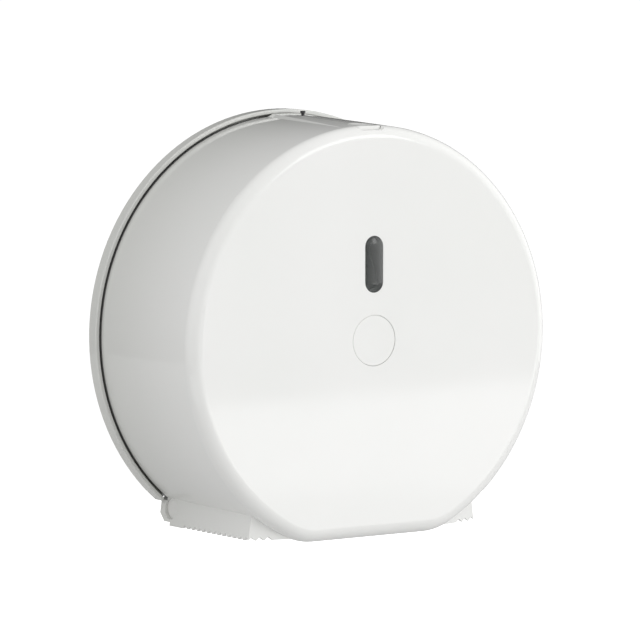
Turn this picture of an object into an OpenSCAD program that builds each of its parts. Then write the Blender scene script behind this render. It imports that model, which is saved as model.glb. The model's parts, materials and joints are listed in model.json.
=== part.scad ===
// Jumbo toilet roll dispenser for a wall: a drum-shaped cover that swings down from a wall
// plate, a turning hub for the roll, a sprung latch lever in the top and a quarter-turn lock.
// The wall is the plane Y = 0, the room lies towards -Y and Z is up. The origin is the point
// where the axis of the drum meets the wall.

/* [Wall plate] */
// Diameter of the rim round the wall plate
body_d = 273; // [262:1:290]
// Thickness of the plate against the wall
plate_t = 2.5; // [2:0.1:3.5]
// Depth of the rim, from the wall
rim_h = 8.2; // [7.5:0.1:9]
// Thickness of the rim
rim_t = 2.7; // [2.4:0.1:3]
// Height of the ribs that stiffen the plate
rib_h = 5; // [3:0.5:6]
// Thickness of the ribs
rib_t = 1.8; // [1.4:0.1:2.4]
// Distance between the wall screws, sideways and upwards
screw_pitch = 140; // [120:1:150]
// Diameter of the holes for the wall screws
screw_hole_d = 5.2; // [4.5:0.1:6]

/* [Cover] */
// Distance from the wall to the front face
body_depth = 109; // [106:1:120]
// Thickness of the cover's wall
wall = 2.5; // [2:0.1:2.8]
// Radius of the cover's front edge
edge_r = 8; // [7:0.5:10]
// Slope of the cover's side, in degrees
draft = 1.15; // [0.9:0.05:1.5]
// Shadow gap between the rim and the cover's side
rim_gap = 1.3; // [1:0.05:1.6]
// How far the cover's edge reaches into the rim
rim_reach = 3; // [2:0.1:3.5]
// Width of the land round the latch lever, where the shadow gap is closed
land_w = 17; // [14:0.5:20]
// Slope of the land's flanks, in degrees
land_flank = 26; // [22:1:30]
// How far the land stands above the cover's side at the rim
land_h = 1.55; // [1.4:0.05:2]
// How far the flat bottom is raised from the round of the drum
flat_rise = 9.6; // [8:0.2:12]
// Radius of the rounded corners beside the flat bottom
corner_r = 40; // [32:1:45]

/* [Skirt] */
// Width of the skirt round the paper outlet, between its front corners
skirt_w = 163.4; // [156:0.2:166]
// Taper of the skirt's sides towards the front, in degrees
skirt_taper = 3; // [2:0.5:4]
// Outward lean of the skirt's sides, in degrees
skirt_lean = 8; // [4:1:10]
// Distance from the front face back to the skirt's corners
skirt_setback = 12; // [11:0.5:15]
// Slant of the skirt's front, in degrees
skirt_slant = 12; // [8:1:14]
// How far the tips of the teeth lie above the flat bottom
tip_rise = 3; // [2:0.2:4]
// Distance from one tooth to the next
tooth_pitch = 5.4; // [4.5:0.1:7]
// Height of a tooth
tooth_h = 2.2; // [1.4:0.1:2.6]

/* [Hinge] */
// Diameter of the hinge pins
pin_d = 12.84; // [11:0.02:13]
// Distance of the hinge axis from the wall
hinge_out = 13; // [13:0.1:15]
// Height of the hinge axis above the tips of the teeth
hinge_rise = 10.4; // [10:0.1:12]
// Depth of the pin's end below the face of the ear
pin_recess = 1.5; // [0.8:0.1:1.8]

/* [Front fittings] */
// Width of the sight window
window_w = 13; // [10:0.5:16]
// Height of the sight window
window_h = 34.5; // [28:0.5:42]
// Height of the window's middle above the axis
window_rise = 46.5; // [42:0.5:56]
// How far the window bulges from the front face
window_bulge = 1.6; // [1:0.1:2.2]
// Diameter of the round plug in the middle of the front
plug_d = 31; // [26:0.5:36]
// Bevel round the plug's face
plug_bevel = 0.4; // [0.2:0.1:0.8]

/* [Latch and lock] */
// Width of the latch lever
lever_w = 7.2; // [6.6:0.1:8]
// Width of the thumb pad at the lever's end
pad_w = 19; // [16:0.5:22]
// Distance from the front face back to the end of the thumb pad
pad_setback = 5.6; // [5.2:0.1:7]
// Distance of the lever's pivot from the wall
pivot_out = 45; // [42:1:50]
// Diameter of the lever's pivot pin
pivot_d = 3; // [2.6:0.1:3.4]
// Distance of the lock from the wall
lock_out = 30; // [28:0.5:32]
// Diameter of the lock's knob
knob_d = 3.2; // [3:0.1:4]
// Height of the lock's knob above the lever
knob_h = 3; // [2.8:0.1:4]
// Distance of the return spring from the wall
spring_out = 70; // [66:1:74]
// Outer diameter of the return spring
spring_d = 6; // [5:0.2:7]
// Diameter of the spring's wire
wire_d = 0.8; // [0.6:0.05:0.9]
// Turns of the spring
spring_turns = 6; // [4:1:7]

/* [Roll hub] */
// Outside diameter of the hub, which fits the roll's core
hub_d = 42; // [40:0.5:48]
// Length of the hub that carries the core
hub_l = 74; // [66:1:78]
// Diameter of the fixed spindle that the hub turns on
spindle_d = 30; // [26:0.5:31]
// Diameter of the flange behind the roll
flange_d = 66; // [58:1:74]

/* [Hidden] */
$fn = 96;
fit_gap = 0.4;                        // between the lever and the edge of its slot
slide_gap = 0.3;                      // between faces that pass each other
seat_gap = 0.1;                       // between pieces that are fastened together
turn_gap = 0.08;                      // between a shaft and its bore, on the radius
over = 1;                             // how far a cut runs past the face that it opens
far = 400;                            // past every piece
ray = 3;                              // carries a corner's radial edge past the outside

// The drum, drawn with its axis along Z and the wall at Z = 0
rim_r = body_d / 2;
rim_in = rim_r - rim_t;
rim_edge = 0.9;                       // radius of the rim's front edges
cover_back = rim_h - rim_reach;
edge_out = body_depth - edge_r;       // depth of the edge radius's centre
edge_at = rim_in - rim_gap - edge_r / cos(draft) - (edge_out - rim_h) * tan(draft);
front_r = edge_at + edge_r;
function side_r(out, inset = 0, slope = draft) =         // radius of the cover's side, out from the wall
    edge_at + (edge_r - inset) / cos(slope) + (edge_out - out) * tan(slope);
land_half = land_w / 2;
land_slope = atan(tan(draft) + land_h / (edge_out - rim_h));
land_back = rim_h + 0.5;              // the land stops just in front of the rim
land_end = edge_out - 1;              // where the land has run out
land_low = 16;                        // how far the land's flanks are drawn down into the drum
function land_r(out, inset = 0) = side_r(out, inset, land_slope);
flat_z = front_r - flat_rise;         // depth of the flat bottom below the axis
corner_step = 0.02;                   // how far the corners lie inside the round
corner_z = flat_z - corner_r;
corner_x = sqrt(pow(front_r - corner_r, 2) - pow(corner_z, 2));

// Screws, and the bosses that they go into
pilot_r = 1.3;
shank_r = pilot_r - 0.05;
screw_clear_r = 1.8;
screw_head_r = 3.1;
small_head_r = 2.2;
screw_head_t = 1.9;
head_bevel = 0.8;
recess_w = 0.7;
recess_floor = 0.7;
boss_h = 2;                           // height of every boss above the plate
boss_r = 4.5;
hole_floor = 1;                       // plastic left behind a blind screw hole

// Skirt and hinge
tip_z = flat_z - tip_rise;
hinge_z = tip_z - hinge_rise;
skirt_half = skirt_w / 2;
skirt_corner = body_depth - skirt_setback;
skirt_front = edge_out + 2;           // foremost reach of the skirt
tooth_tip = 0.32;                     // width of a tooth's blunt tip
tip_h = 0.12;
notch_half = (tooth_pitch - tooth_tip) / 2;
lug_t = 10;
lug_r = 9.5;
lug_rise = 26;                        // how far a lug's web climbs the plate above the pin
ear_l = 20;                           // from the pin to the front end of an ear
ear_top = 9.6;
ear_back = 11.4;
ear_face = skirt_half + (skirt_corner - hinge_out) * tan(skirt_taper);  // outside of an ear at its pin
ear_t = wall + lug_r * norm([tan(skirt_taper), tan(skirt_lean)]);       // past the skirt's leaning inside
ear_in = ear_face - ear_t;
lug_x = ear_in - slide_gap - lug_t;   // inner face of a hinge lug
pin_r = pin_d / 2;
pin_bore_r = pin_r + turn_gap;
pin_wall = 2;

// Wall plate
plate_z = hinge_z - 6.8;              // depth of the plate's bottom edge
notch_x = ear_face + hinge_rise * tan(skirt_lean) + slide_gap;  // where the rim stops beside the ears
rib_ring_r = 44;
rib_end = 20;                         // from the end of a rib to the rim
wall_pad_r = 8;
seat_w = 12;                          // width of the seats that centre the cover
seat_h = 5;                           // how far a seat reaches into the cover

// Spindle and hub
foot_out = plate_t + boss_h + seat_gap;                  // back of the spindle's foot
foot_t = 3.5;
foot_r = 30;
spindle_screw_at = 23.5;
hub_start = foot_out + foot_t + seat_gap + screw_head_t + fit_gap;
hub_flange_t = 2.4;
hub_end = hub_start + hub_flange_t + hub_l;
hub_t = 2;
hub_bevel = 2;
hub_nose = 2;                         // solid end of the hub in front of its hollow
spoke_t = 1.8;
flange_hole_r = 4;
spindle_r = spindle_d / 2;
spindle_t = 2.5;
spindle_end_t = 4;
cap_r = spindle_r + 3;
cap_t = 2.4;
cap_bevel = 0.8;
cap_out = hub_end + slide_gap + seat_gap;
cap_recess_r = 4;
cap_recess = 1;

// Window and plug
lens_lip = 2.5;                       // width of the lens's lip behind the front
lens_lip_t = 1.4;
lens_back = body_depth - wall - seat_gap - lens_lip_t;
frame_lip = 4.5;
frame_back_t = 1.6;
frame_t = 3;
plug_t = 1.45;
plug_fit = 0.15;                      // round the plug's face
plug_ledge = 1.8;
plug_sleeve_l = 8;
plug_sleeve_r = plug_d / 2 - 2;
plug_wall = 1.6;
plug_slit = 2;
ring_out = 2;                         // how far the ring behind the front stands past the plug
ring_in = 1;

// Latch lever
pad_half = pad_w / 2;
pad_end = body_depth - pad_setback;
pad_start = pad_end - 16.5;           // where the lever begins to widen
pad_full = pad_end - 6.5;             // where the pad has its full width
pad_swell = [1, 4];                   // the shoulder's corner, in from the side and back from there
pad_corner_r = 3;
tail_out = land_back + fit_gap;
web_in = 0.6;                         // the lever's web and hook are this much narrower, each side
web_r = 3;
pivot_z = land_r(pivot_out, wall) - 3.8;
toe_t = 1.8;
toe_out = lock_out + 3.5;             // end of the lever's toe
dish_r = 35.6;
dish_depth = 1;
hook_l = 3.5;
hook_bevel = 1.5;
hook_tip_z = land_r(tail_out, wall) - 6.5;

// Lock
barrel_r = 2.5;
cam_low = pivot_z - 1.5;              // underside of the lock's cam
cam_t = 2;
cam_l = 5;
cam_w = 3;
toe_room = 1.2;                       // lets the lever and the cam pass each other
toe_top = cam_low - toe_room;
knob_t = 1.4;
knob_neck = 0.55;                     // the knob's neck is this much thinner, on the radius
knob_slot = 0.5;
barrel_end = 3;                       // how far the barrel stands out under the tray
clip_r = 4.4;
clip_t = 1;
clip_mouth = 3.2;

// Latch tray
tray_t = 2;
tray_floor = 12;                      // tray depth under the cover's inside
tray_room = 3;                        // room beside the lever
pad_room = 1.5;                       // room beside the thumb pad
tray_half = pad_half + pad_room + tray_t;
tray_front = pad_end + fit_gap - seat_gap;
floor_top = land_r(pivot_out, wall) - tray_floor + tray_t;
floor_low = floor_top - tray_t;
sleeve_r = 4.2;
sleeve_top = toe_top - toe_t - slide_gap;
cheek_t = 3;
cheek_r = 3.4;
post_r = 4;                           // bosses of the cover for the tray's screws
post_x = 17;
post_low = pivot_z - 4;
tray_flange_t = 2;
tray_flange_l = 10;
tray_screw_l = 7;
spring_peg_h = 2.5;
spring_low = floor_top + seat_gap;
spring_high = land_r(spring_out, wall) - seat_gap;

// Catch on the wall plate
catch_w = 22;
catch_h = 9;
catch_t = 2;
catch_screw_x = 7;
catch_hook_w = 9;
catch_end = tail_out + hook_l + 4;
catch_lip = 1.2;
function catch_z() = hook_tip_z - slide_gap;             // top of the catch, under the latch's hook

white = "#eeeeec";
pale = "#d9dad6";
steel = "#b8bcc0";
dark = "#26282a";
smoke = "#4d524f";

// Draws in the wall's plane: X to the right, Y up, and Z out from the wall into the room.
module room() rotate([90, 0, 0]) children();

// Extrudes a plan view, with X to the right and Y out from the wall, down from a height.
module down_from(top, height) translate([0, top, 0]) rotate([90, 0, 0]) linear_extrude(height) children();

// Extrudes a side view, with X out from the wall and Y up, sideways from x = at.
module sideways(at, width) translate([at, 0, 0]) rotate([0, -90, 0]) mirror([0, 0, 1])
    linear_extrude(width) children();

// A cylinder that stands upright in the room, from one height to another.
module post(x, out, low, high, r)
    translate([x, high, out]) rotate([90, 0, 0]) cylinder(h = high - low, r = r);

// A cylinder that lies sideways in the room.
module cross_rod(x, z, out, length, r)
    translate([x, z, out]) rotate([0, 90, 0]) cylinder(h = length, r = r);

// A cylinder out from the wall, from a depth to another.
module stub(from, to, r) translate([0, 0, from]) cylinder(h = to - from, r = r);

// Copies at the three screws of the spindle's foot, and at the four wall screws.
module at_foot_screws() for (turn = [90, 210, 330]) rotate(turn)
    translate([spindle_screw_at, 0, 0]) children();
module at_wall_screws() for (x = [-1, 1], z = [-1, 1]) translate([x, z, 0] * screw_pitch / 2) children();

// Copies at the two screws of the catch.
module at_catch_screws() for (side = [-1, 1])
    translate([side * catch_screw_x, catch_z() - catch_h / 2, 0]) children();

// Half section of the drum, set in from its outside, from a depth to the front.
module drum_section(inset, from, slope = draft) {
    lean = [cos(slope), sin(slope)];
    polygon([
        [0, from],
        [side_r(from, inset, slope), from],
        [edge_at, edge_out] + (edge_r - inset) * lean,
        [edge_at, body_depth - inset],
        [0, body_depth - inset]
    ]);
    intersection() {
        translate([edge_at, edge_out]) circle(edge_r - inset);
        translate([edge_at - over, edge_out]) square(edge_r + 2 * over);
    }
}

// The part of the section beyond the centre of the rounded bottom corners.
module corner_section(inset, from) intersection() {
    translate([corner_r - front_r - corner_step, 0]) drum_section(inset, from);
    square([far, far]);
}

// The drum as a solid: round above, with a flat bottom between two rounded corners.
module drum(inset, from) {
    intersection() {
        rotate_extrude() drum_section(inset, from);
        linear_extrude(far) polygon([
            [-corner_x, -corner_z], [-corner_x, -corner_z] * ray, [-far, -corner_z * ray], [-far, far],
            [far, far], [far, -corner_z * ray], [corner_x, -corner_z] * ray, [corner_x, -corner_z]
        ]);
    }
    for (side = [-1, 1]) intersection() {
        translate([side * corner_x, -corner_z, 0]) rotate_extrude() corner_section(inset, from);
        linear_extrude(far) polygon([
            [side * corner_x, -corner_z], [side * corner_x, -corner_z] * ray,
            [side * corner_x, -corner_z * ray]
        ]);
    }
    translate([0, -corner_z, 0]) rotate([90, 0, -90]) linear_extrude(2 * corner_x, center = true)
        corner_section(inset, from);
}

// The land round the latch lever, which rises from the drum towards the rim between two flanks.
module land(inset, from) intersection() {
    half = land_half + land_low / tan(land_flank) - inset / sin(land_flank);
    low = rim_in - land_low;
    translate([0, 0, from])
        cylinder(h = land_end - from, r1 = land_r(from, inset), r2 = land_r(land_end, inset));
    linear_extrude(far) polygon([[-half, low], [0, low + half * tan(land_flank)], [half, low]]);
}

// The drum as it is in the middle of the land, which gives the lever its top.
module latch_drum(inset, from) rotate_extrude() drum_section(inset, from, land_slope);

// Everything inside the two leaning and tapering planes of the skirt's sides.
module between_sides(inset) {
    lean = atan(tan(skirt_lean) * cos(skirt_taper));
    intersection_for(side = [0, 1]) mirror([side, 0, 0])
        translate([skirt_half - inset, -hinge_z, skirt_corner]) rotate([0, -skirt_taper, 0]) rotate(lean)
            translate([-far, -far, -far]) cube([far, 2 * far, 2 * far]);
}

// The skirt round the paper outlet, set in from its outside, from a height down to another.
module skirt_block(inset, top, low) {
    slope = tan(skirt_slant);
    run = (skirt_front - skirt_corner) / slope;
    back = inset > 0 ? -over : hinge_out;
    intersection() {
        between_sides(inset);
        down_from(top, top - low) translate([0, -inset]) polygon([
            [-far, back], [-far, skirt_corner - (far - skirt_half) * slope],
            [run - skirt_half, skirt_front], [skirt_half - run, skirt_front],
            [far, skirt_corner - (far - skirt_half) * slope], [far, back]
        ]);
    }
}

// Side outline of an ear, X out from the wall and Y up: a blunt tab behind the hinge pin.
module ear_outline() {
    low = tooth_h - hinge_rise;
    translate([hinge_out, -hinge_z]) polygon([
        [ear_l, low], [ear_l, ear_top - 1.6], [-3, ear_top], [-6.5, ear_top],
        [-ear_back, 3.7], [-ear_back, -3.4], [-6, low]
    ]);
}

// A row of notches in X, which leaves teeth with pointed tips at Y = 0.
module notches(count) for (i = [0 : count - 1]) translate([i * tooth_pitch, 0]) polygon([
    [-notch_half, -over], [-notch_half, tip_h], [0, tooth_h], [notch_half, tip_h], [notch_half, -over]
]);

// Plan of the latch lever, X to the right and Y out from the wall, grown by a gap.
module lever_plan(gap) {
    half = lever_w / 2 + gap;
    full = pad_half + gap;
    tip = pad_end + gap;
    back = gap > 0 ? -over : tail_out;
    shoulder = [full, pad_full] - pad_swell;
    polygon([
        [-half, back], [half, back], [half, pad_start], shoulder, [full, pad_full],
        [full, tip - pad_corner_r], [full - pad_corner_r, tip], [pad_corner_r - full, tip],
        [-full, tip - pad_corner_r], [-full, pad_full], [-shoulder.x, shoulder.y], [-half, pad_start]
    ]);
    for (side = [-1, 1]) translate([side * (full - pad_corner_r), tip - pad_corner_r]) circle(pad_corner_r);
}

// Plan of the tray under the lever, set in from its outside and open towards the front.
module tray_plan(inset) {
    half = lever_w / 2 + tray_room + tray_t - inset;
    full = tray_half - inset;
    back = catch_end + 3 + inset;
    front = inset > 0 ? far : tray_front;
    bend = pad_start - 6;             // the tray widens ahead of the lever
    polygon([
        [-half, back], [half, back], [half, bend], [full, bend + 8], [full, front],
        [-full, front], [-full, bend + 8], [-half, bend]
    ]);
}

// A slot with round ends, upright.
module pill(width, height) {
    for (side = [-1, 1]) translate([0, side * (height - width) / 2]) circle(width / 2);
    square([width, height - width], center = true);
}

// A pan-head screw with a cross recess; its head sits on Z = 0 and the shank points to -Z.
module pan_screw(length, head = screw_head_r) {
    flat = screw_head_t - head_bevel;
    stub(-length, 0, shank_r);
    difference() {
        union() {
            stub(0, flat, head);
            translate([0, 0, flat]) cylinder(h = head_bevel, r1 = head, r2 = head - 1.5 * head_bevel);
        }
        for (turn = [0, 90]) rotate(turn) translate([-head / 2, -recess_w / 2, recess_floor])
            cube([head, recess_w, screw_head_t]);
    }
}

// Stiffening ribs: a ring round the spindle and eight spokes towards the rim.
module plate_ribs() {
    high = plate_t + rib_h;
    for (turn = [22.5 : 45 : 337.5]) rotate(turn) translate([rib_ring_r - rib_t / 2, -rib_t / 2, 0])
        cube([rim_r - rib_ring_r - rib_end, rib_t, high]);
    difference() {
        stub(0, high, rib_ring_r);
        stub(plate_t, far, rib_ring_r - rib_t);
    }
}

// Section of the rim, with rounded front edges.
module rim_section() {
    translate([rim_in, 0]) square([rim_t, rim_h - rim_edge]);
    translate([rim_in + rim_edge, 0]) square([rim_t - 2 * rim_edge, rim_h]);
    for (at = [rim_in, rim_r - 2 * rim_edge]) translate([at + rim_edge, rim_h - rim_edge]) circle(rim_edge);
}

// Seats that centre the cover's edge.
module cover_seats() {
    seat_r = side_r(cover_back + seat_h, wall) - fit_gap;
    intersection() {
        for (turn = [12, 48, 132, 168]) rotate(turn) translate([seat_r - seat_w, -seat_w / 2, 0])
            cube([seat_w + over, seat_w, cover_back + seat_h]);
        cylinder(h = far, r = seat_r);
    }
}

// Lugs that carry the hinge pins.
module hinge_lugs() for (side = [-1, 1]) sideways(side > 0 ? lug_x : -lug_x - lug_t, lug_t) {
    translate([hinge_out, -hinge_z]) circle(lug_r);
    polygon([
        [0, -plate_z], [hinge_out, -hinge_z - lug_r], [hinge_out + lug_r, -hinge_z], [0, lug_rise - hinge_z]
    ]);
}

module wall_plate() color(white) room() difference() {
    union() {
        intersection() {
            union() {
                stub(0, plate_t, rim_r);
                rotate_extrude() rim_section();
                plate_ribs();
                at_wall_screws() cylinder(h = plate_t + boss_h, r = wall_pad_r);
            }
            // the bottom edge, between the ears of the cover
            difference() {
                cylinder(h = far, r = rim_r + over);
                translate([0, 0, -over]) linear_extrude(2 * far) polygon([
                    [-notch_x, -plate_z], [-notch_x, -plate_z] * ray,
                    [notch_x, -plate_z] * ray, [notch_x, -plate_z]
                ]);
            }
        }
        cover_seats();
        at_foot_screws() cylinder(h = plate_t + boss_h, r = boss_r);
        hinge_lugs();
        // pad for the catch's screws
        translate([-catch_w / 2, catch_z() - catch_h, 0]) cube([catch_w, catch_h, plate_t + boss_h]);
    }
    at_wall_screws() stub(-over, far, screw_hole_d / 2);
    at_foot_screws() stub(hole_floor, far, pilot_r);
    at_catch_screws() stub(hole_floor, far, pilot_r);
    for (side = [-1, 1]) cross_rod(side > 0 ? lug_x - over : -lug_x - lug_t - over, -hinge_z, hinge_out,
        lug_t + 2 * over, pin_r + seat_gap / 2);
}

module hinge_pins() color(pale) room() for (side = [0, 1]) mirror([side, 0, 0]) {
    length = lug_t + slide_gap + ear_t - pin_recess;
    difference() {
        cross_rod(lug_x, -hinge_z, hinge_out, length, pin_r);
        cross_rod(lug_x - over, -hinge_z, hinge_out, length + over - 2 * pin_wall, pin_r - pin_wall);
    }
}

module spindle() color(pale) room() difference() {
    union() {
        stub(foot_out, foot_out + foot_t, foot_r);
        stub(foot_out, hub_end + slide_gap, spindle_r);
    }
    stub(foot_out - over, hub_end + slide_gap - spindle_end_t, spindle_r - spindle_t);
    cylinder(h = far, r = pilot_r);
    at_foot_screws() cylinder(h = far, r = screw_clear_r);
}

module spindle_screws() color(steel) room() at_foot_screws()
    translate([0, 0, foot_out + foot_t + seat_gap]) pan_screw(foot_t + boss_h + hole_floor);

module spindle_cap() color(pale) room() translate([0, 0, cap_out]) difference() {
    union() {
        stub(0, cap_t - cap_bevel, cap_r);
        translate([0, 0, cap_t - cap_bevel]) cylinder(h = cap_bevel, r1 = cap_r, r2 = cap_r - cap_bevel);
    }
    stub(-over, far, screw_clear_r);
    stub(cap_t - cap_recess, far, cap_recess_r);
}

module cap_screw() color(steel) room() translate([0, 0, cap_out + cap_t - cap_recess + seat_gap])
    pan_screw(cap_t + spindle_end_t - cap_recess);

module roll_hub() color(pale) room() translate([0, 0, hub_start]) {
    bore = spindle_r + turn_gap;
    hub_r = hub_d / 2;
    length = hub_end - hub_start;
    difference() {
        union() {
            stub(0, hub_flange_t, flange_d / 2);
            stub(0, length - hub_bevel, hub_r);
            translate([0, 0, length - hub_bevel]) cylinder(h = hub_bevel, r1 = hub_r, r2 = hub_r - hub_bevel);
        }
        stub(-over, far, bore);
        // hollow between six spokes
        difference() {
            stub(-over, length - hub_nose - over, hub_r - hub_t);
            stub(-2 * over, far, bore + hub_t);
            for (turn = [0 : 60 : 300]) rotate(turn) translate([0, -spoke_t / 2, -2 * over])
                cube([far, spoke_t, far]);
        }
        for (turn = [30 : 60 : 330]) rotate(turn) translate([(hub_r + flange_d / 2) / 2, 0, 0])
            stub(-over, hub_flange_t + over, flange_hole_r);
    }
}

// Cuts through the cover's front face for the window and the plug.
module front_holes() {
    translate([0, window_rise, 0]) linear_extrude(far) pill(window_w + 2 * seat_gap, window_h + 2 * seat_gap);
    cylinder(h = far, r = plug_d / 2 - plug_ledge);
    stub(body_depth - plug_t - seat_gap / 2, far, plug_d / 2 + plug_fit);
}

// A scoop for the fingertip in the front edge, before the thumb pad.
module finger_scoop() {
    r = 4;
    half = pad_half - 3.5;
    translate([0, front_r + 0.6, body_depth - 3.4]) {
        rotate([0, 90, 0]) cylinder(h = 2 * half, r = r, center = true);
        for (side = [-1, 1]) translate([side * half, 0, 0]) sphere(r);
    }
}

// Notches that leave teeth along the skirt's sides and its slanted front.
module skirt_notches() {
    side_count = floor((skirt_corner - hinge_out - lug_r) / tooth_pitch);
    front_count = 4;
    sideways(-far, 2 * far) translate([skirt_corner - (side_count - 0.5) * tooth_pitch, -tip_z])
        notches(side_count);
    for (side = [0, 1]) mirror([side, 0, 0])
        translate([tooth_pitch / 2 - skirt_half - 2, -tip_z, skirt_corner - 3])
            linear_extrude(edge_out - skirt_corner + 2) notches(front_count);
}

module cover_shell() color(white) room() difference() {
    union() {
        difference() {
            union() {
                drum(0, cover_back);
                land(0, land_back);
                skirt_block(0, -corner_z, -tip_z);
            }
            drum(wall, cover_back - over);
            land(wall, cover_back - over);
            skirt_block(wall, -corner_z, -far);
        }
        // ears that turn on the hinge pins
        intersection() {
            for (side = [-1, 1]) sideways(side > 0 ? ear_in : -ear_in - 2 * ear_t, 2 * ear_t) ear_outline();
            between_sides(0);
        }
        // posts for the latch tray's screws
        intersection() {
            for (side = [-1, 1]) post(side * post_x, pivot_out, post_low, rim_r, post_r);
            drum(wall / 2, cover_back);
        }
        // block in the corner before the thumb pad, which closes the tray's front
        intersection() {
            translate([-tray_half, floor_low, pad_end + fit_gap]) cube([2 * tray_half, far, far]);
            drum(wall / 2, cover_back);
        }
        // ring behind the front face that holds the plug
        translate([0, 0, body_depth - wall - ring_out]) difference() {
            stub(0, ring_out + wall / 2, plug_d / 2 + ring_out);
            stub(-over, far, plug_d / 2 - ring_in);
        }
    }
    // slot for the lever, open at the back
    down_from(far, far - floor_top) lever_plan(fit_gap);
    finger_scoop();
    front_holes();
    skirt_notches();
    // hinge bores
    for (side = [-1, 1]) cross_rod(side > 0 ? ear_in - 2 * over : -ear_face - 2 * over, -hinge_z,
        hinge_out, ear_t + 4 * over, pin_bore_r);
    // screw holes in the posts
    for (side = [-1, 1])
        post(side * post_x, pivot_out, post_low - over, side_r(pivot_out, wall) - hole_floor, pilot_r);
}

module window_lens() color(smoke) room() translate([0, window_rise, 0]) {
    dome_r = (pow(window_w / 2, 2) + pow(window_bulge, 2)) / (2 * window_bulge);
    straight = (window_h - window_w) / 2;
    intersection() {
        translate([0, 0, lens_back]) linear_extrude(far) pill(window_w, window_h);
        translate([0, 0, body_depth + window_bulge - dome_r]) {
            rotate([90, 0, 0]) cylinder(h = 2 * straight, r = dome_r, center = true);
            for (side = [-1, 1]) translate([0, side * straight, 0]) sphere(dome_r);
        }
    }
    translate([0, 0, lens_back]) linear_extrude(lens_lip_t)
        pill(window_w + 2 * lens_lip, window_h + 2 * lens_lip);
}

module window_frame() color(pale) room() translate([0, window_rise, lens_back - frame_back_t]) difference() {
    step = 0.25;                      // how far the frame shows inside the window
    linear_extrude(frame_t) pill(window_w + 2 * frame_lip, window_h + 2 * frame_lip);
    translate([0, 0, -over]) linear_extrude(far) pill(window_w - 2 * step, window_h - 2 * step);
    translate([0, 0, frame_back_t - seat_gap]) linear_extrude(far)
        pill(window_w + 2 * (lens_lip + seat_gap), window_h + 2 * (lens_lip + seat_gap));
}

module centre_plug() color(white) room() {
    r = plug_d / 2;
    back = body_depth - plug_sleeve_l;
    difference() {
        union() {
            stub(body_depth - plug_t, body_depth - plug_bevel, r);
            translate([0, 0, body_depth - plug_bevel]) cylinder(h = plug_bevel, r1 = r, r2 = r - plug_bevel);
            stub(back, body_depth - plug_t / 2, plug_sleeve_r);
        }
        stub(back - over, body_depth - plug_t - seat_gap, plug_sleeve_r - plug_wall);
        // slits that let the sleeve spring
        for (turn = [0, 90]) rotate(turn) translate([-far / 2, -plug_slit / 2, back - over])
            cube([far, plug_slit, plug_sleeve_l - wall]);
    }
}

// The room under the cover's inside.
module under_cover() {
    drum(wall + seat_gap, cover_back);
    land(wall + seat_gap, cover_back);
}

module latch_tray() color(pale) room() difference() {
    union() {
        intersection() {
            difference() {
                down_from(rim_r, rim_r - floor_low) tray_plan(0);
                down_from(far, far - floor_top) tray_plan(tray_t);
            }
            under_cover();
        }
        // flanges under the screw posts
        down_from(post_low - seat_gap, tray_flange_t) difference() {
            translate([-post_x - tray_flange_l / 2, pivot_out - tray_flange_l / 2])
                square([2 * post_x + tray_flange_l, tray_flange_l]);
            tray_plan(tray_t);
        }
        // cheeks for the pivot pin
        for (side = [0, 1]) mirror([side, 0, 0]) intersection() {
            sideways(lever_w / 2 + slide_gap, cheek_t) union() {
                translate([pivot_out, pivot_z]) circle(cheek_r);
                translate([pivot_out - cheek_r, floor_low]) square([2 * cheek_r, pivot_z - floor_low]);
            }
            under_cover();
        }
        // sleeve for the lock
        post(0, lock_out, floor_low, sleeve_top, sleeve_r);
        // peg for the spring
        post(0, spring_out, floor_low, floor_top + spring_peg_h, spring_d / 2 - wire_d - 2 * seat_gap);
    }
    cross_rod(-far / 2, pivot_z, pivot_out, far, pivot_d / 2 + seat_gap / 2);
    post(0, lock_out, floor_low - over, far, barrel_r + turn_gap);
    for (side = [-1, 1]) post(side * post_x, pivot_out, post_low - far, post_low + over, screw_clear_r);
}

module tray_screws() color(steel) room() for (side = [-1, 1])
    translate([side * post_x, post_low - 2 * seat_gap - tray_flange_t, pivot_out]) rotate([90, 0, 0])
        pan_screw(tray_screw_l);

module latch_lever() color(white) room() difference() {
    union() {
        intersection() {
            down_from(far, far) lever_plan(0);
            difference() {
                latch_drum(0, tail_out);
                latch_drum(wall, tail_out - over);
            }
        }
        // web down to the pivot
        intersection() {
            sideways(web_in - lever_w / 2, lever_w - 2 * web_in) union() {
                translate([pivot_out, pivot_z]) circle(web_r);
                translate([pivot_out - web_r, pivot_z]) square([2 * web_r, far]);
                // toe that the lock's cam holds down
                translate([toe_out, toe_top - toe_t]) square([pivot_out + over - toe_out, toe_t]);
            }
            latch_drum(wall / 2, cover_back);
        }
        // hook that hangs over the catch
        intersection() {
            sideways(web_in - lever_w / 2, lever_w - 2 * web_in) polygon([
                [tail_out, hook_tip_z], [tail_out + hook_l - hook_bevel, hook_tip_z],
                [tail_out + hook_l, hook_tip_z + hook_bevel], [tail_out + hook_l, rim_r], [tail_out, rim_r]
            ]);
            latch_drum(wall / 2, tail_out);
        }
    }
    cross_rod(-far / 2, pivot_z, pivot_out, far, pivot_d / 2 + turn_gap);
    post(0, lock_out, 0, far, knob_d / 2);
    // thumb dish
    translate([0, front_r + dish_r - dish_depth, pad_full - dish_depth]) sphere(dish_r, $fn = 200);
}

module pivot_pin() color(steel) room() {
    half = lever_w / 2 + slide_gap + cheek_t - 2 * seat_gap;
    cross_rod(-half, pivot_z, pivot_out, 2 * half, pivot_d / 2);
}

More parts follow.
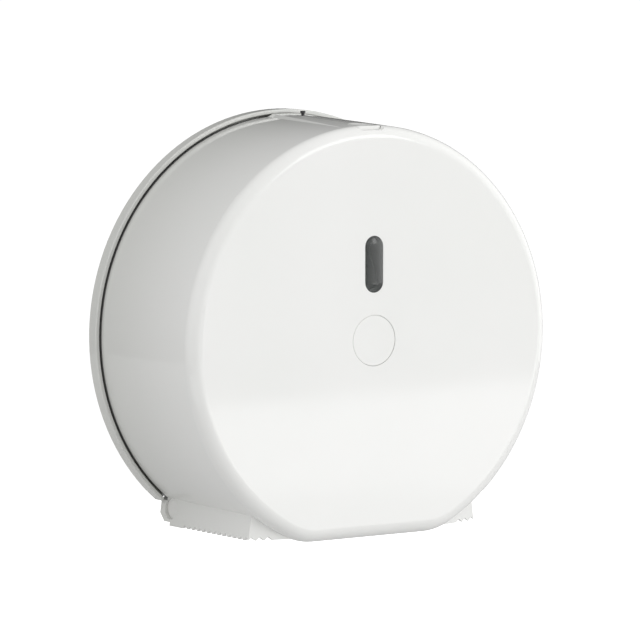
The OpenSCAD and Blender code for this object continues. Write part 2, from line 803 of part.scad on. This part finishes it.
// One tube along a coil: rings of points, joined by triangles, with a flat cap at each end.
function coil_ring(turn, r, low, rise, wire, sides) = [for (k = [0 : sides - 1])
    let (a = k * 360 / sides, out = r + wire / 2 * cos(a), up = wire / 2 * sin(a))
    [out * cos(360 * turn), low + rise * turn + up, out * sin(360 * turn)]];
module coil(r, low, high, wire, turns) {
    sides = 6;
    rings = 12;                       // in one turn
    steps = rings * turns;
    rise = (high - low - wire) / turns;
    points = [for (i = [0 : steps]) each coil_ring(i / rings, r, low + wire / 2, rise, wire, sides)];
    skin = [for (i = [0 : steps - 1], k = [0 : sides - 1])
        let (a = i * sides + k, b = i * sides + (k + 1) % sides)
        each [[a, b, b + sides], [a, b + sides, a + sides]]];
    first = [for (k = [1 : sides - 2]) [0, k + 1, k]];
    last = [for (k = [1 : sides - 2]) [steps * sides, steps * sides + k, steps * sides + k + 1]];
    polyhedron(points, concat(skin, first, last));
}

module return_spring() color(steel) room() translate([0, 0, spring_out])
    coil((spring_d - wire_d) / 2, spring_low, spring_high, wire_d, spring_turns);

// The catch's side outline: a tongue out from the wall with a raised lip at its end.
module catch_tongue() {
    low = catch_z() - catch_h;
    reach = catch_end - foot_out;
    polygon([
        [0, low], [0, catch_z() - catch_lip], [reach - 3, catch_z() - catch_lip], [reach - 2, catch_z()],
        [reach - 1, catch_z()], [reach, catch_z() - 1.6], [reach, catch_z() - 3.2],
        [catch_t, catch_z() - 3.6], [catch_t, low]
    ]);
}

module catch_plate() color(pale) room() difference() {
    translate([0, 0, foot_out]) {
        translate([-catch_w / 2, catch_z() - catch_h, 0]) cube([catch_w, catch_h, catch_t]);
        sideways(-catch_hook_w / 2, catch_hook_w) catch_tongue();
    }
    at_catch_screws() cylinder(h = far, r = screw_clear_r);
}

module catch_screws() color(steel) room() at_catch_screws()
    translate([0, 0, foot_out + catch_t + seat_gap]) pan_screw(catch_t + boss_h + seat_gap, small_head_r);

module lock_barrel() color(pale) room() {
    post(0, lock_out, floor_low - barrel_end, cam_low + cam_t, barrel_r);
    post(0, lock_out, cam_low, land_r(lock_out), knob_d / 2 - knob_neck);
    // cam that swings over the lever's toe
    translate([0, cam_low, lock_out - cam_w / 2]) cube([cam_l, cam_t, cam_w]);
}

module lock_knob() color(dark) room() {
    top = land_r(lock_out) + knob_h;
    difference() {
        union() {
            post(0, lock_out, land_r(lock_out) + seat_gap, top - knob_t, knob_d / 2 - knob_neck);
            post(0, lock_out, top - knob_t, top, knob_d / 2);
        }
        translate([-far / 2, top - knob_slot, lock_out - knob_slot / 2]) cube([far, far, knob_slot]);
    }
}

module lock_clip() color(steel) room() difference() {
    post(0, lock_out, floor_low - slide_gap - clip_t, floor_low - slide_gap, clip_r);
    post(0, lock_out, floor_low - barrel_end, floor_low, barrel_r + seat_gap);
    translate([-clip_mouth / 2, floor_low - far, lock_out]) cube([clip_mouth, 2 * far, far]);
}

wall_plate();
hinge_pins();
spindle();
spindle_screws();
spindle_cap();
cap_screw();
roll_hub();
cover_shell();
window_lens();
window_frame();
centre_plug();
latch_tray();
tray_screws();
latch_lever();
pivot_pin();
return_spring();
catch_plate();
catch_screws();
lock_barrel();
lock_knob();
lock_clip();
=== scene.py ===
# %% [markdown]
# # A jumbo toilet roll dispenser
# The dispenser hangs on a wall: a round wall plate, a drum-shaped cover that swings down, a hub
# for the roll, and a latch lever in the top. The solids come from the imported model, in metres, with
# the wall at Y = 0 and the front towards -Y. This script gives them their finishes, winds the return
# spring again in round wire, and sets up the studio.

# %% Load the fixed frame
import json
import math

import bpy
from mathutils import Euler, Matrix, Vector


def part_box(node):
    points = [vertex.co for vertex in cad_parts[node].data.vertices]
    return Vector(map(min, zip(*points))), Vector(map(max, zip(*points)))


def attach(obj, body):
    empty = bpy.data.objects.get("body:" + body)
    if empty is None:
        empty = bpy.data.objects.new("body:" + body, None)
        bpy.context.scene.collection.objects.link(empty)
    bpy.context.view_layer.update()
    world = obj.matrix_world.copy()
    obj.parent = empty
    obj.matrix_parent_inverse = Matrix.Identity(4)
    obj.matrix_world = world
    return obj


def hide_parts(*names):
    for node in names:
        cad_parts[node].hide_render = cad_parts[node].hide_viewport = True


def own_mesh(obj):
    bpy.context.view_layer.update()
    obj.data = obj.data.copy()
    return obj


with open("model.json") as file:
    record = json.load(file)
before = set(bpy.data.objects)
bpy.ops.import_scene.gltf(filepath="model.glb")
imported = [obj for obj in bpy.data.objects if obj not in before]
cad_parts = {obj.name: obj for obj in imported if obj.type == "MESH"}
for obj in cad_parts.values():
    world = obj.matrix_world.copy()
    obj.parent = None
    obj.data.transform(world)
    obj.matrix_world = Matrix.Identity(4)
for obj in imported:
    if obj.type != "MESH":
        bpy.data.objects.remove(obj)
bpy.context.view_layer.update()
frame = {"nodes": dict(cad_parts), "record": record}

# %% [markdown]
# ## The camera
# The photograph was taken from a few metres away, to the left of the dispenser and a little above its
# middle, so the drum's side shows on the left. A long lens keeps the front face nearly round. A
# camera could be aimed with a Track To constraint, but its place is worked out here from two angles
# and a distance, because those can be read off the picture.

# %% Place the camera
VIEW_TURN = math.radians(-33.5)
VIEW_RISE = math.radians(5.68)
VIEW_DISTANCE = 2.774
VIEW_TARGET = Vector((0, -0.06, 0))
VIEW_END = 100
FOCAL_PIXELS = 4500
PICTURE_PIXELS = 640
SENSOR = 36
PICTURE_CENTRE = (329.6, 333.9)


def make_camera():
    back = Vector((
        math.sin(VIEW_TURN) * math.cos(VIEW_RISE),
        -math.cos(VIEW_TURN) * math.cos(VIEW_RISE),
        math.sin(VIEW_RISE),
    ))
    data = bpy.data.cameras.new("camera")
    data.sensor_width = SENSOR
    data.lens = FOCAL_PIXELS / PICTURE_PIXELS * SENSOR
    data.shift_x = (PICTURE_PIXELS / 2 - PICTURE_CENTRE[0]) / PICTURE_PIXELS
    data.shift_y = (PICTURE_CENTRE[1] - PICTURE_PIXELS / 2) / PICTURE_PIXELS
    data.clip_end = VIEW_END
    camera = bpy.data.objects.new("camera", data)
    bpy.context.scene.collection.objects.link(camera)
    camera.location = VIEW_TARGET + back * VIEW_DISTANCE
    camera.rotation_euler = back.to_track_quat("Z", "Y").to_euler()
    bpy.context.scene.camera = camera
    return camera


camera = make_camera()
print("camera at", [round(v, 3) for v in camera.location])

# %% [markdown]
# ## Materials as expressions
# A finish is a small program: it mixes noises and edges into a colour, a roughness and a bump. Wiring
# that by hand in the node editor is slow to read back, so a small class wraps a node's socket, and
# plain arithmetic on it adds the Math nodes.

# %% A socket that can be added and multiplied
class Socket:
    """A node's output in a material, with arithmetic that adds Math nodes."""

    def __init__(self, finish, link):
        self.finish = finish
        self.link = link

    def _math(self, operation, a, b):
        return self.finish.node("ShaderNodeMath", {"operation": operation}, {0: a, 1: b})

    def __add__(self, other):
        return self._math("ADD", self, other)

    def __mul__(self, other):
        return self._math("MULTIPLY", self, other)

    __radd__ = __add__
    __rmul__ = __mul__


print("sockets can be added and multiplied")

# %% [markdown]
# ## A finish set up by name
# Each finish starts from the Principled shader that a new material has. Values that are the same all
# over go straight into the shader's sockets. What varies comes from nodes, and one method adds any of
# them, so that a finish reads as a few lines. All patterns use Object coordinates: the solids lie at
# the origin, so a place in the pattern is a real place on the dispenser, in metres.

# %% A material with its shader and its nodes
class Finish:
    """A material whose shader is set up by name, with one method that adds any other node."""

    def __init__(self, name, **settings):
        self.material = bpy.data.materials.new(name)
        self.material.use_nodes = True
        self.tree = self.material.node_tree
        self.shader = self.tree.nodes["Principled BSDF"]
        for socket, value in settings.items():
            self.set(socket.replace("_", " "), value)

    def node(self, kind, settings=(), inputs=(), output=0):
        node = self.tree.nodes.new(kind)
        for key, value in dict(settings).items():
            setattr(node, key, value)
        for key, value in dict(inputs).items():
            self.feed(node.inputs[key], value)
        return Socket(self, node.outputs[output])

    def feed(self, socket, value):
        if isinstance(value, Socket):
            self.tree.links.new(value.link, socket)
        else:
            socket.default_value = value

    def set(self, name, value):
        self.feed(self.shader.inputs[name], value)

    def place(self):
        return self.node("ShaderNodeTexCoord", output="Object")

    def depth(self):
        return self.node("ShaderNodeSeparateXYZ", inputs={"Vector": self.place()}, output="Y")

    def radius(self):
        flat = self.node("ShaderNodeMapping", inputs={"Vector": self.place(), "Scale": (1, 0, 1)})
        return self.node("ShaderNodeVectorMath", {"operation": "LENGTH"}, {0: flat}, "Value")

    def noise(self, scale, detail=2.0, roughness=0.5, stretch=(1, 1, 1)):
        where = self.node("ShaderNodeMapping", inputs={"Vector": self.place(), "Scale": stretch})
        return self.node("ShaderNodeTexNoise", inputs={
            "Vector": where, "Scale": scale, "Detail": detail, "Roughness": roughness})

    def blend(self, amount, first, second):
        return self.node("ShaderNodeMix", {"data_type": "RGBA"}, {0: amount, 6: first, 7: second}, 2)

    def spread(self, value, low, high, out_low=0.0, out_high=1.0):
        return self.node("ShaderNodeMapRange", inputs={
            "Value": value, 1: low, 2: high, 3: out_low, 4: out_high})

    def bump(self, height, distance, strength=1.0):
        self.set("Normal", self.node("ShaderNodeBump", inputs={
            "Height": height, "Distance": distance, "Strength": strength}))


def colour(red, green, blue):
    return (red, green, blue, 1)


print("material helper ready")

# %% [markdown]
# ## Shade painted by place
# Two kinds of shade are painted into the shell's white. In the photograph the drum's side grows darker
# towards the wall, which the soft sky below can't do by itself, so a painted shade darkens the white
# there. And the narrow gap between rim and cover is nearly black. White walls pass the light on between
# them and leave it grey, so its two walls get a painted shadow, nearly black. Both could be painted by
# hand on an image, but a depth from the wall and a radius from the drum's axis say the same, and stay
# sharp in any picture.

# %% Masks for the painted shade on the drum's side and the painted shadow in the gap
SIDE_RADIUS = 0.1265
SIDE_EDGE = 0.001
SIDE_FRONT = -0.098
SIDE_BACK = -0.008
GAP_FRONT = -0.0084
GAP_BACK = -0.0034
GAP_FADE = 0.0004
GAP_INNER = 0.1315
GAP_INNER_EDGE = 0.0003
GAP_OUTER = 0.13385
GAP_OUTER_EDGE = 0.0002


# Where the painted shade falls on the drum's side: none at the front, full near the wall.
def side_shade_mask(finish, depth, radius):
    side = finish.spread(radius, SIDE_RADIUS, SIDE_RADIUS + SIDE_EDGE)
    return finish.spread(depth, SIDE_FRONT, SIDE_BACK) * side


# Where the painted shadow falls: both walls of the gap between rim and cover.
def gap_shadow_mask(finish, depth, radius):
    behind = finish.spread(depth, GAP_FRONT, GAP_FRONT + GAP_FADE)
    before = finish.spread(depth, GAP_BACK, GAP_BACK + GAP_FADE, 1, 0)
    inside = finish.spread(radius, GAP_OUTER, GAP_OUTER + GAP_OUTER_EDGE, 1, 0)
    outside = finish.spread(radius, GAP_INNER - GAP_INNER_EDGE, GAP_INNER)
    return behind * before * inside * outside


print("gap from", GAP_INNER, "to", GAP_OUTER, "m from the axis")

# %% [markdown]
# ## White ABS
# The shell is injection-moulded white ABS with a polished tool surface: glossy, very slightly warm,
# with a faint long ripple where the plastic shrank over the ribs. A flat colour would look like paper,
# so the tone drifts a little, the gloss varies, and a low, wide bump bends the reflections. The
# numbers of a noise are its scale, in waves to the metre, and its detail.

# %% Finish: glossy white shell
DRIFT = (9, 3)
DRIFT_EDGES = (0.3, 0.7)
RIPPLE = (14, 1)
POLISH = (25, 3)
FINE_GRAIN = (900, 2)
FINE_SHARE = 0.01
GLOSS = 0.035
GLOSS_CHANGE = 0.02
RIPPLE_HEIGHT = 0.00004


def glossy_white(name, tone, warm, painted_side_shade, painted_gap_shadow):
    finish = Finish(name, IOR=1.5)
    depth = finish.depth()
    radius = finish.radius()
    white = finish.blend(finish.spread(finish.noise(*DRIFT), *DRIFT_EDGES), tone, warm)
    # Painted shade: the side's white grows darker towards the wall.
    white = finish.blend(side_shade_mask(finish, depth, radius), white, painted_side_shade)
    # Painted shadow: the gap's two walls are nearly black.
    finish.set("Base Color", finish.blend(gap_shadow_mask(finish, depth, radius), white, painted_gap_shadow))
    fine = finish.noise(*FINE_GRAIN)
    finish.set("Roughness", GLOSS + GLOSS_CHANGE * finish.noise(*POLISH) + FINE_SHARE * fine)
    finish.bump(finish.noise(*RIPPLE) + FINE_SHARE * fine, RIPPLE_HEIGHT)
    return finish.material


white_shell = glossy_white(
    "white_shell",
    tone=colour(0.87, 0.87, 0.855),
    warm=colour(0.845, 0.85, 0.83),
    # Painted shade for the drum's side near the wall.
    painted_side_shade=colour(0.68, 0.685, 0.66),
    # Painted shadow for the gap between rim and cover.
    painted_gap_shadow=colour(0.2, 0.2, 0.195),
)
print("finish:", white_shell.name)

# %% [markdown]
# ## Satin plastic
# The pieces inside, and the lock's knob, come from tools that nobody polished, so they are satin, with
# a fine even grain. One function makes both the off-white and the black, because only the colour
# differs. The grain drives the roughness and the bump together, as it does on a real eroded surface.

# %% Finish: satin white and satin black
PATCHES = (20, 4)
ERODED = (1400, 3)
SATIN = 0.38
SATIN_CHANGE = 0.15
ERODED_DEPTH = 0.0001
ERODED_STRENGTH = 0.3


def satin_plastic(name, tone, shade):
    finish = Finish(name, IOR=1.5)
    finish.set("Base Color", finish.blend(finish.noise(*PATCHES), tone, shade))
    grain = finish.noise(*ERODED)
    finish.set("Roughness", SATIN + SATIN_CHANGE * grain)
    finish.bump(grain, ERODED_DEPTH, ERODED_STRENGTH)
    return finish.material


white_inner = satin_plastic("white_inner", colour(0.74, 0.74, 0.72), colour(0.69, 0.69, 0.67))
black_knob = satin_plastic("black_knob", colour(0.02, 0.02, 0.022), colour(0.035, 0.035, 0.037))
print("finishes:", white_inner.name, black_knob.name)

# %% [markdown]
# ## Zinc-plated steel
# The screws, the pins, the spring and the clip are plain steel with a thin coat of zinc. The plating
# is bright but cloudy, and handling leaves it scratched. The clouds are a noise in the colour. The
# scratches are a finer noise, squeezed along one axis, which dulls the metal and dents it a little.

# %% Finish: zinc-plated steel
CLOUDS = (300, 3)
SCRATCHES = (900, 2, 0.6, (1, 8, 1))
PLATED = 0.28
PLATED_CHANGE = 0.18
SCRATCH_DEPTH = 0.00005
SCRATCH_STRENGTH = 0.4


def zinc(name, bright, cloudy):
    finish = Finish(name, Metallic=1.0)
    finish.set("Base Color", finish.blend(finish.noise(*CLOUDS), bright, cloudy))
    scratches = finish.noise(*SCRATCHES)
    finish.set("Roughness", PLATED + PLATED_CHANGE * scratches)
    finish.bump(scratches, SCRATCH_DEPTH, SCRATCH_STRENGTH)
    return finish.material


zinc_steel = zinc("zinc_steel", colour(0.62, 0.63, 0.65), colour(0.5, 0.52, 0.55))
print("finish:", zinc_steel.name)

# %% [markdown]
# ## The smoked window
# The sight window is clear plastic tinted grey, so the amount of paper shows without the window
# standing out. Alpha could make it see-through, but then it would have no depth. Transmission bends
# the light as the real lens does, and a faint haze in the tint and the gloss keeps it from looking
# like new glass.

# %% Finish: smoked window
HAZE = (60, 3)
CLEAR_GLOSS = 0.03
HAZE_GLOSS = 0.05


def smoked(name, tint, deep_tint):
    finish = Finish(name, IOR=1.49, Transmission_Weight=0.92)
    haze = finish.noise(*HAZE)
    finish.set("Base Color", finish.blend(haze, tint, deep_tint))
    finish.set("Roughness", CLEAR_GLOSS + HAZE_GLOSS * haze)
    return finish.material


smoked_window = smoked("smoked_window", colour(0.32, 0.34, 0.33), colour(0.26, 0.28, 0.275))
print("finish:", smoked_window.name)

# %% [markdown]
# ## Painting the solids
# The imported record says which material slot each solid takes, and each slot has one finish.
# The finishes could be assigned solid by solid, but a loop over the record can't miss one.

# %% Give the solids their finishes
finish_of = {
    "white_shell": white_shell,
    "white_inner": white_inner,
    "smoked_window": smoked_window,
    "zinc_steel": zinc_steel,
    "black_knob": black_knob,
}
slot_of = {part["node"]: part["material_slot"] for part in frame["record"]["subparts"]}
for name, solid in frame["nodes"].items():
    for slot in solid.material_slots:
        slot.material = finish_of[slot_of[name]]
print("painted", len(slot_of), "solids")

# %% [markdown]
# ## The return spring
# A small compression spring under the latch lever pushes it back up. The solid in the model is a coil
# that can't shorten. A curve with a round bevel could draw it, but a circle wound by a Screw modifier
# is a mesh at once.

# %% Wind the return spring
SPRING_TURNS = 6
SPRING_WIRE = 0.0008
WIRE_SIDES = 12
STEPS_IN_A_TURN = 24
SMOOTH_UP_TO = math.radians(50)


def wind_wire(radius, rise):
    bpy.ops.object.select_all(action="DESELECT")
    bpy.ops.mesh.primitive_circle_add(
        vertices=WIRE_SIDES, radius=SPRING_WIRE / 2, location=(radius, 0, 0), rotation=(math.pi / 2, 0, 0))
    spring = bpy.context.object
    spring.name = "return_spring_coil"
    bpy.ops.object.transform_apply(location=True, rotation=True, scale=True)
    wind = spring.modifiers.new("wind", "SCREW")
    wind.screw_offset = rise
    wind.iterations = SPRING_TURNS
    wind.steps = wind.render_steps = STEPS_IN_A_TURN
    bpy.ops.object.modifier_apply(modifier=wind.name)
    return spring


def close_wire_ends():
    bpy.ops.object.mode_set(mode="EDIT")
    bpy.ops.mesh.select_all(action="SELECT")
    bpy.ops.mesh.fill_holes(sides=0)
    bpy.ops.mesh.normals_make_consistent(inside=False)
    bpy.ops.object.mode_set(mode="OBJECT")
    bpy.ops.object.shade_smooth_by_angle(angle=SMOOTH_UP_TO)


def make_spring():
    low, high = (Vector(corner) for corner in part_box("return_spring"))
    rise = (high.z - low.z - SPRING_WIRE) / SPRING_TURNS
    spring = wind_wire((high.x - low.x - SPRING_WIRE) / 2, rise)
    close_wire_ends()
    spring.location = ((low.x + high.x) / 2, (low.y + high.y) / 2, low.z + SPRING_WIRE / 2)
    bpy.ops.object.transform_apply(location=True, rotation=True, scale=True)
    spring.data.materials.append(zinc_steel)
    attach(spring, "cover")
    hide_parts("return_spring")
    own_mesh(spring)
    return spring


spring = make_spring()
print("spring faces:", len(spring.data.polygons))

# %% [markdown]
# ## The floor
# The dispenser floats in the photograph, on pure white. Here a wide pale disc lies well below it. It
# throws soft light up into the shaded lower side, as a white table does, and it glows just enough to
# the camera that its far edge melts into the background.

# %% Floor
FLOOR_DROP = 0.45
FLOOR_REACH = 2.66
FLOOR_SIDES = 96
FLOOR_MIDDLE = -0.1
PAPER = (40, 3)


def make_floor():
    bpy.ops.object.select_all(action="DESELECT")
    bpy.ops.mesh.primitive_circle_add(
        vertices=FLOOR_SIDES, radius=FLOOR_REACH, fill_type="NGON",
        location=(0, FLOOR_MIDDLE, -FLOOR_DROP))
    floor = bpy.context.object
    floor.name = "floor"
    finish = Finish("floor_white", Roughness=0.6)
    paper = finish.noise(*PAPER)
    finish.set("Base Color", finish.blend(paper, colour(0.66, 0.66, 0.66), colour(0.64, 0.64, 0.64)))
    finish.set("Emission Color", colour(1, 1, 1))
    seen_by_camera = finish.node("ShaderNodeLightPath")
    finish.set("Emission Strength", seen_by_camera)
    floor.data.materials.append(finish.material)
    return floor


floor = make_floor()
print("floor at", -FLOOR_DROP)

# %% [markdown]
# ## The sky
# The light in the photograph is broad and soft: brightest before the product and to its right, duller
# on the left, with a gentle share from above. A few large lamps could do it, but each would leave its
# outline in the glossy shell. A sky made of soft lobes has no outlines. Each lobe fades with the
# cosine of the angle from its middle, raised to a power, and the camera sees plain white instead.

# %% Sky
# Each lobe of the sky: where it is, how tight it is, and its radiance.
SKY_LOBES = (
    ((0.3, -1, 0.1), 8, 1.18),
    ((-1, 0, 0.05), 3, 1.02),
    ((-0.3, -0.2, 1), 2, 0.97),
    ((1, -0.3, 0.1), 4, 2.0),
)
SKY_BASE = 0.02
BACKGROUND = colour(1.05, 1.05, 1.05)


def add_lobe(tree, direction, towards, tightness, level, total):
    def math_node(operation, a, b):
        node = tree.nodes.new("ShaderNodeMath")
        node.operation = operation
        for socket, value in zip(node.inputs, (a, b)):
            if isinstance(value, (int, float)):
                socket.default_value = value
            else:
                tree.links.new(value, socket)
        return node.outputs[0]

    dot = tree.nodes.new("ShaderNodeVectorMath")
    dot.operation = "DOT_PRODUCT"
    dot.inputs[1].default_value = Vector(towards).normalized()
    tree.links.new(direction, dot.inputs[0])
    lobe = math_node("POWER", math_node("MAXIMUM", dot.outputs["Value"], 0.0), tightness)
    return math_node("ADD", total, math_node("MULTIPLY", lobe, level))


def make_sky():
    world = bpy.data.worlds.new("studio")
    bpy.context.scene.world = world
    world.use_nodes = True
    tree = world.node_tree
    direction = tree.nodes.new("ShaderNodeTexCoord").outputs["Generated"]
    total = SKY_BASE
    for towards, tightness, level in SKY_LOBES:
        total = add_lobe(tree, direction, towards, tightness, level, total)
    path = tree.nodes.new("ShaderNodeLightPath")
    mix = tree.nodes.new("ShaderNodeMix")
    mix.data_type = "RGBA"
    tree.links.new(path.outputs["Is Camera Ray"], mix.inputs[0])
    tree.links.new(total, mix.inputs[6])
    mix.inputs[7].default_value = BACKGROUND
    tree.links.new(mix.outputs[2], tree.nodes["Background"].inputs["Color"])
    return world


world = make_sky()
print("lobes in the sky:", len(SKY_LOBES))

# %% [markdown]
# ## Cards and key
# Three soft lights finish the studio. A low white card at the right is what the glossy front mirrors
# below its middle, and the card's straight top edge is the faint line across it. A mirrored edge
# could be faked in the finish, but it would then stay put when the dispenser is seen from elsewhere.
# The key lifts the upper front, and a small card at the lower left lifts the shaded side. The camera
# doesn't see any of them.

# %% Soft lights
FRONT_OUT = -0.109
CARD_TOP = -0.2507
CARD_ROLL = math.radians(5.2)
CARD_HEIGHT = 0.25
CARD_WIDTH = 1.4
CARD_MIDDLE = CARD_TOP - CARD_HEIGHT / 2


def soft_light(name, place, aim, size, radiance, roll=0):
    data = bpy.data.lights.new(name, "AREA")
    data.shape = "RECTANGLE"
    data.size, data.size_y = size
    data.energy = radiance * math.pi * size[0] * size[1]
    light = bpy.data.objects.new(name, data)
    bpy.context.scene.collection.objects.link(light)
    light.location = place
    turn = (Vector(place) - Vector(aim)).to_track_quat("Z", "Y") @ Euler((0, 0, roll)).to_quaternion()
    light.rotation_euler = turn.to_euler()
    light.visible_camera = False
    return light


lights = [
    soft_light(
        "low_card", place=(1.06, -1.71, CARD_MIDDLE), aim=(0, FRONT_OUT, CARD_MIDDLE),
        size=(CARD_WIDTH, CARD_HEIGHT), radiance=1.6, roll=CARD_ROLL),
    soft_light("key", place=(1, -1.8, 0.75), aim=(0, -0.05, 0), size=(0.8, 0.8), radiance=2.8),
    soft_light(
        "side_card", place=(-0.9, -0.4, -0.41), aim=(-0.09, -0.05, -0.09),
        size=(0.8, 0.3), radiance=0.9),
]
print("lights:", [light.name for light in lights])

# %% [markdown]
# ## Closing
# The Standard view shows a white as white, where Blender's usual one would turn it grey.

# %% Colour handling
bpy.context.scene.view_settings.view_transform = "Standard"
